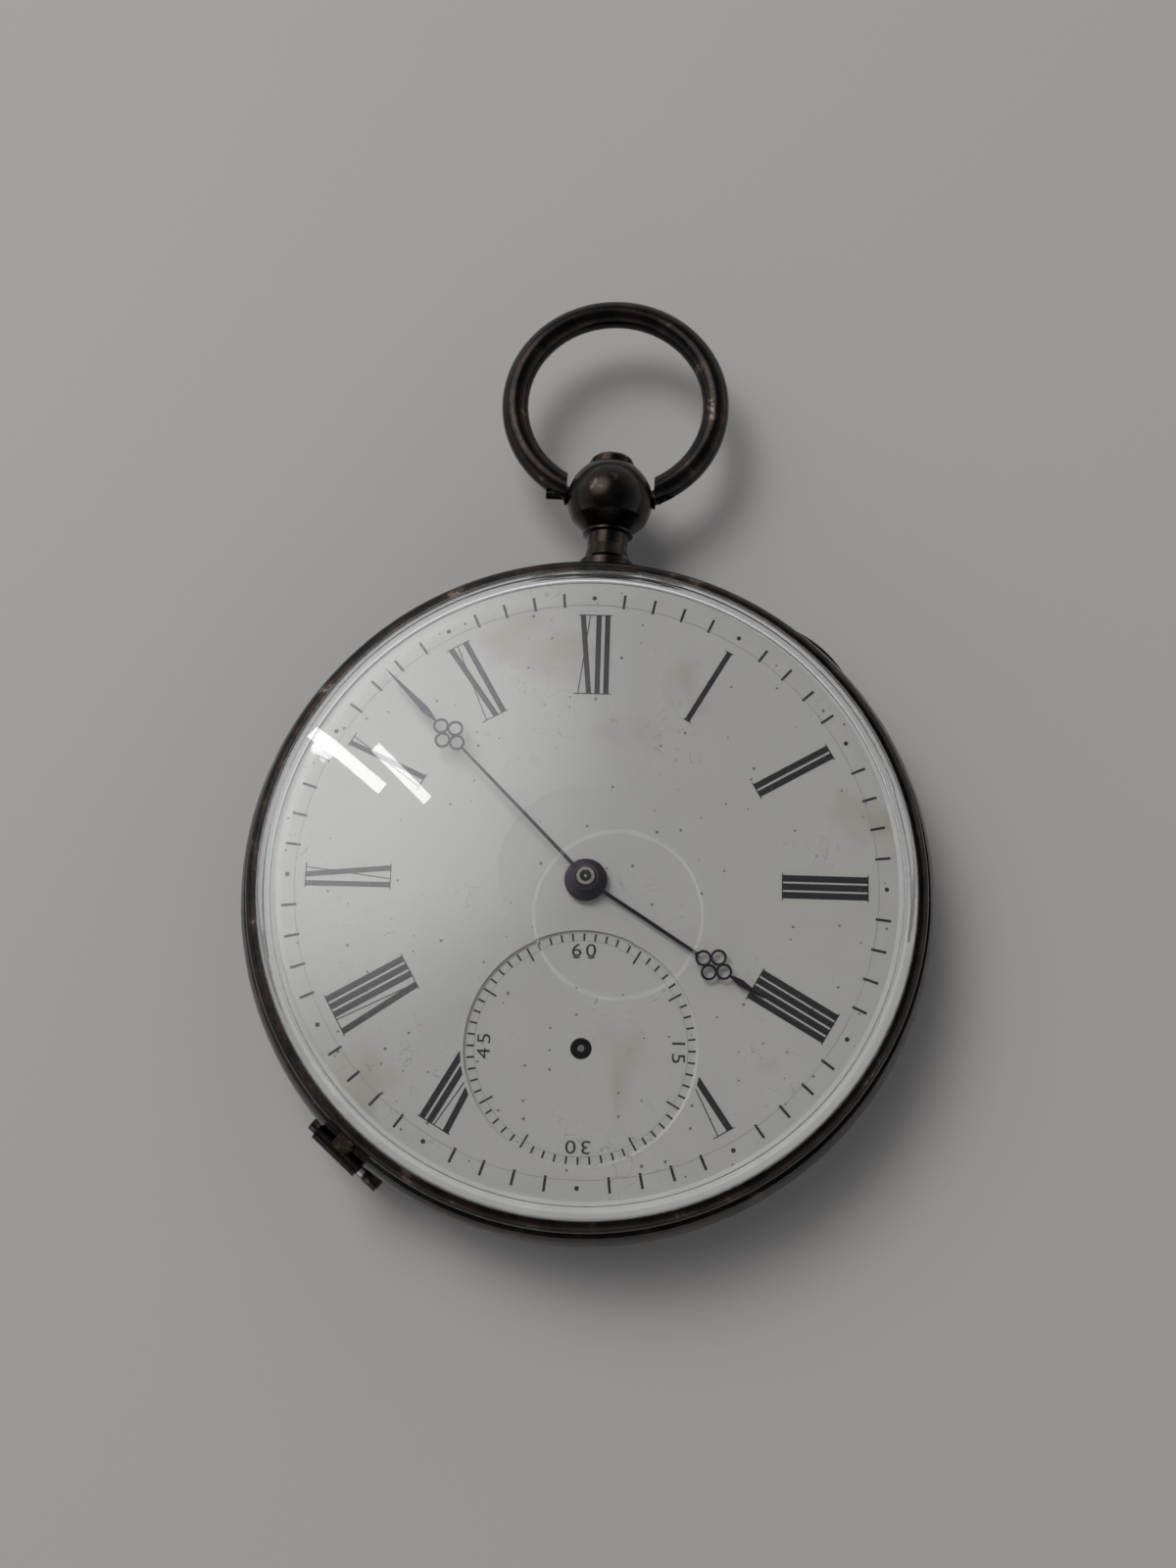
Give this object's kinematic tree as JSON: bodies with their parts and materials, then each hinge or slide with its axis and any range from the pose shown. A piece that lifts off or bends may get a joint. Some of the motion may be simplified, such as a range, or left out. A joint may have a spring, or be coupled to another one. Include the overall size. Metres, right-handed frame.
{
  "type": "pocket watch",
  "caption": "Key-wound open-face pocket watch with hinged bezel and back, inner cover, swinging bow, enamel dial and a geared movement with a small seconds train.",
  "frame": {"origin": "middle of the flat of the back cover, where the watch rests", "axes": "+Z out of the dial, +Y from the middle of the case to the pendant, +X towards 3 o'clock"},
  "size_m": [0.046, 0.0663, 0.012],
  "materials": {
    "tarnished_silver": "silver with a dark tarnish",
    "bright_silver": "polished silver",
    "gilt_brass": "gilt and matt",
    "wheel_brass": "polished",
    "polished_steel": "polished",
    "blued_steel": "blued to purple",
    "enamel": "white glossy enamel",
    "copper": "plain copper",
    "ruby": "polished ruby",
    "crystal_glass": "clear, polished"
  },
  "bodies": {
    "case": {"case_band": "tarnished_silver", "pendant": "tarnished_silver", "pendant_button": "tarnished_silver", "bezel_hinge_pin": "polished_steel", "back_hinge_pin": "polished_steel", "main_plate": "gilt_brass", "case_screws": "polished_steel", "barrel_bridge": "gilt_brass", "centre_bridge": "gilt_brass", "third_bridge": "gilt_brass", "fourth_bridge": "gilt_brass", "escape_cock": "gilt_brass", "balance_cock": "gilt_brass", "bridge_screws": "polished_steel", "plate_jewels": "ruby", "bridge_jewels": "ruby", "click_screw": "blued_steel", "click_spring": "blued_steel", "hairspring": "blued_steel", "hairspring_stud": "polished_steel", "balance_endcap": "polished_steel", "minute_wheel_post": "polished_steel", "dial": "enamel", "seconds_dial": "enamel", "dial_feet": "copper"},
    "bow": {"bow": "tarnished_silver", "bow_screw": "polished_steel"},
    "bezel": {"bezel": "tarnished_silver", "crystal": "crystal_glass"},
    "back": {"back_cover": "tarnished_silver"},
    "inner_cover": {"cuvette": "bright_silver"},
    "centre_arbor": {"centre_pinion": "polished_steel", "centre_wheel": "wheel_brass", "setting_arbor": "polished_steel", "cannon_pinion": "polished_steel", "minute_hand": "blued_steel"},
    "hour": {"hour_wheel": "wheel_brass", "hour_hand": "blued_steel"},
    "minute_train": {"minute_wheel": "wheel_brass", "minute_pinion": "polished_steel"},
    "going_barrel": {"barrel": "gilt_brass", "barrel_cover": "gilt_brass", "mainspring": "blued_steel"},
    "winding": {"barrel_arbor": "polished_steel", "ratchet_wheel": "polished_steel"},
    "pawl": {"click": "polished_steel"},
    "third": {"third_pinion": "polished_steel", "third_wheel": "wheel_brass"},
    "fourth": {"fourth_pinion": "polished_steel", "fourth_wheel": "wheel_brass"},
    "escape": {"escape_pinion": "polished_steel", "escape_wheel": "polished_steel"},
    "balance": {"balance_wheel": "wheel_brass", "balance_staff": "polished_steel", "hairspring_collet": "wheel_brass"},
    "index": {"regulator": "polished_steel"}
  },
  "joints": [
    {"name": "bow_swing", "type": "hinge", "parent": "case", "child": "bow", "pos_m": [0, 0.0282, 0.0051], "axis": [1, 0, 0], "range_deg": [-130, 130]},
    {"name": "bezel_open", "type": "hinge", "parent": "case", "child": "bezel", "pos_m": [-0.01473, -0.01793, 0.007], "axis": [0.7727, -0.6347, 0], "range_deg": [0, 110]},
    {"name": "back_open", "type": "hinge", "parent": "case", "child": "back", "pos_m": [-0.01473, -0.01793, 0.0032], "axis": [-0.7727, 0.6347, 0], "range_deg": [0, 110]},
    {"name": "cuvette_open", "type": "hinge", "parent": "case", "child": "inner_cover", "pos_m": [-0.01473, -0.01793, 0.0032], "axis": [-0.7727, 0.6347, 0], "range_deg": [0, 88]},
    {"name": "hands_turn", "type": "hinge", "parent": "case", "child": "centre_arbor", "pos_m": [0, 0, 0.005], "axis": [0, 0, -1], "continuous": true},
    {"name": "hour_turn", "type": "hinge", "parent": "case", "child": "hour", "pos_m": [0, 0, 0.005], "axis": [0, 0, -1], "continuous": true},
    {"name": "minute_wheel_turn", "type": "hinge", "parent": "case", "child": "minute_train", "pos_m": [0.00402, 0.00159, 0.005], "axis": [0, 0, -1], "continuous": true},
    {"name": "barrel_turn", "type": "hinge", "parent": "case", "child": "going_barrel", "pos_m": [0.00312, 0.00939, 0.005], "axis": [0, 0, -1], "continuous": true},
    {"name": "third_turn", "type": "hinge", "parent": "case", "child": "third", "pos_m": [0.00413, -0.0059, 0.005], "axis": [0, 0, -1], "continuous": true},
    {"name": "seconds_turn", "type": "hinge", "parent": "case", "child": "fourth", "pos_m": [0.0003, -0.01067, 0.005], "axis": [0, 0, -1], "continuous": true},
    {"name": "escape_turn", "type": "hinge", "parent": "case", "child": "escape", "pos_m": [-0.00496, -0.01019, 0.005], "axis": [0, 0, -1], "continuous": true},
    {"name": "winding_turn", "type": "hinge", "parent": "case", "child": "winding", "pos_m": [0.00312, 0.00939, 0.005], "axis": [0, 0, -1], "continuous": true},
    {"name": "click_lift", "type": "hinge", "parent": "case", "child": "pawl", "pos_m": [-0.00143, 0.01007, 0.005], "axis": [0, 0, -1], "range_deg": [-8, 0]},
    {"name": "balance_swing", "type": "hinge", "parent": "case", "child": "balance", "pos_m": [-0.00798, -0.00832, 0.005], "axis": [0, 0, -1], "range_deg": [-135, 135]},
    {"name": "regulator_turn", "type": "hinge", "parent": "case", "child": "index", "pos_m": [-0.00798, -0.00832, 0.005], "axis": [0, 0, -1], "range_deg": [-25, 25]}
  ],
  "couplings": [
    {"joint": "cuvette_open", "follows": "back_open", "ratio": 0.8},
    {"joint": "barrel_turn", "follows": "hands_turn", "ratio": -0.125},
    {"joint": "third_turn", "follows": "hands_turn", "ratio": -8},
    {"joint": "seconds_turn", "follows": "hands_turn", "ratio": 60},
    {"joint": "escape_turn", "follows": "hands_turn", "ratio": -600},
    {"joint": "minute_wheel_turn", "follows": "hands_turn", "ratio": -0.33333},
    {"joint": "hour_turn", "follows": "hands_turn", "ratio": 0.083333}
  ]
}
